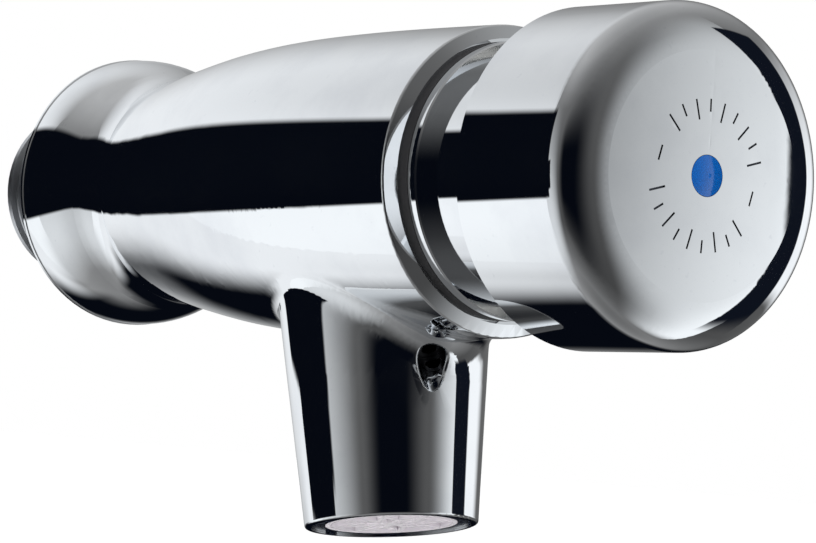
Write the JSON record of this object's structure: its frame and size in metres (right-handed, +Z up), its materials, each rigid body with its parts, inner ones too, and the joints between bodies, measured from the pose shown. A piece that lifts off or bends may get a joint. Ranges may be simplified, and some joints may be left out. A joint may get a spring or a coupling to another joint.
{
  "type": "push timed tap",
  "caption": "Wall-mounted push timed tap in chrome: domed flange, swelling barrel, short leaning spout, sprung push button on a neck and a dashpot cartridge inside.",
  "frame": {"origin": "centre of the wall plane, on the axis of the supply thread", "axes": "+Y along the supply thread into the wall, so the button faces -Y; +Z up, the spout hangs towards -Z; +X to the right of someone facing the wall"},
  "size_m": [0.0332, 0.1155, 0.0541],
  "materials": {
    "chrome_body": "polished",
    "chrome_collar": "polished",
    "chrome_button": "polished",
    "brass": "satin",
    "stainless": "satin",
    "stainless_screen": "satin",
    "spring_steel": "satin",
    "black_steel": "satin",
    "rubber": "matte",
    "fibre_gasket": "matte",
    "white_plastic": "satin",
    "black_plastic": "satin",
    "clear_plastic": "gloss",
    "blue_plastic": "gloss"
  },
  "bodies": {
    "tap": {"body": "chrome_body", "inlet_strainer": "stainless_screen", "strainer_clip": "spring_steel", "cartridge_sleeve": "brass", "sleeve_o_ring": "rubber", "cartridge_gasket": "fibre_gasket", "stem_guide": "white_plastic", "dashpot_cylinder": "white_plastic", "metering_needle": "spring_steel", "collar": "chrome_collar", "collar_gasket": "rubber", "stem_seal": "rubber", "stem_bush": "white_plastic", "spring_seat": "stainless", "return_spring": "spring_steel", "outlet_seal": "rubber", "outlet_housing": "black_plastic", "outlet_star": "clear_plastic", "lock_screw": "black_steel"},
    "push_stem": {"stem": "stainless", "valve_washer": "rubber", "valve_carrier": "brass", "valve_nut": "stainless", "piston": "white_plastic", "piston_seal": "rubber", "piston_clips": "spring_steel"},
    "push_button": {"button_cap": "chrome_button", "index_plug": "blue_plastic", "button_guide_ring": "white_plastic", "button_snap_ring": "spring_steel"}
  },
  "joints": [
    {"name": "button_push", "type": "slide", "parent": "tap", "child": "push_stem", "axis": [0, 1, 0], "range_m": [0, 0.008], "stiffness_N_per_m": 1200, "springref_m": -0.01, "deforming": ["return_spring"]},
    {"name": "button_turn", "type": "hinge", "parent": "push_stem", "child": "push_button", "pos_m": [0, -0.09, 0], "axis": [0, 1, 0], "continuous": true}
  ]
}
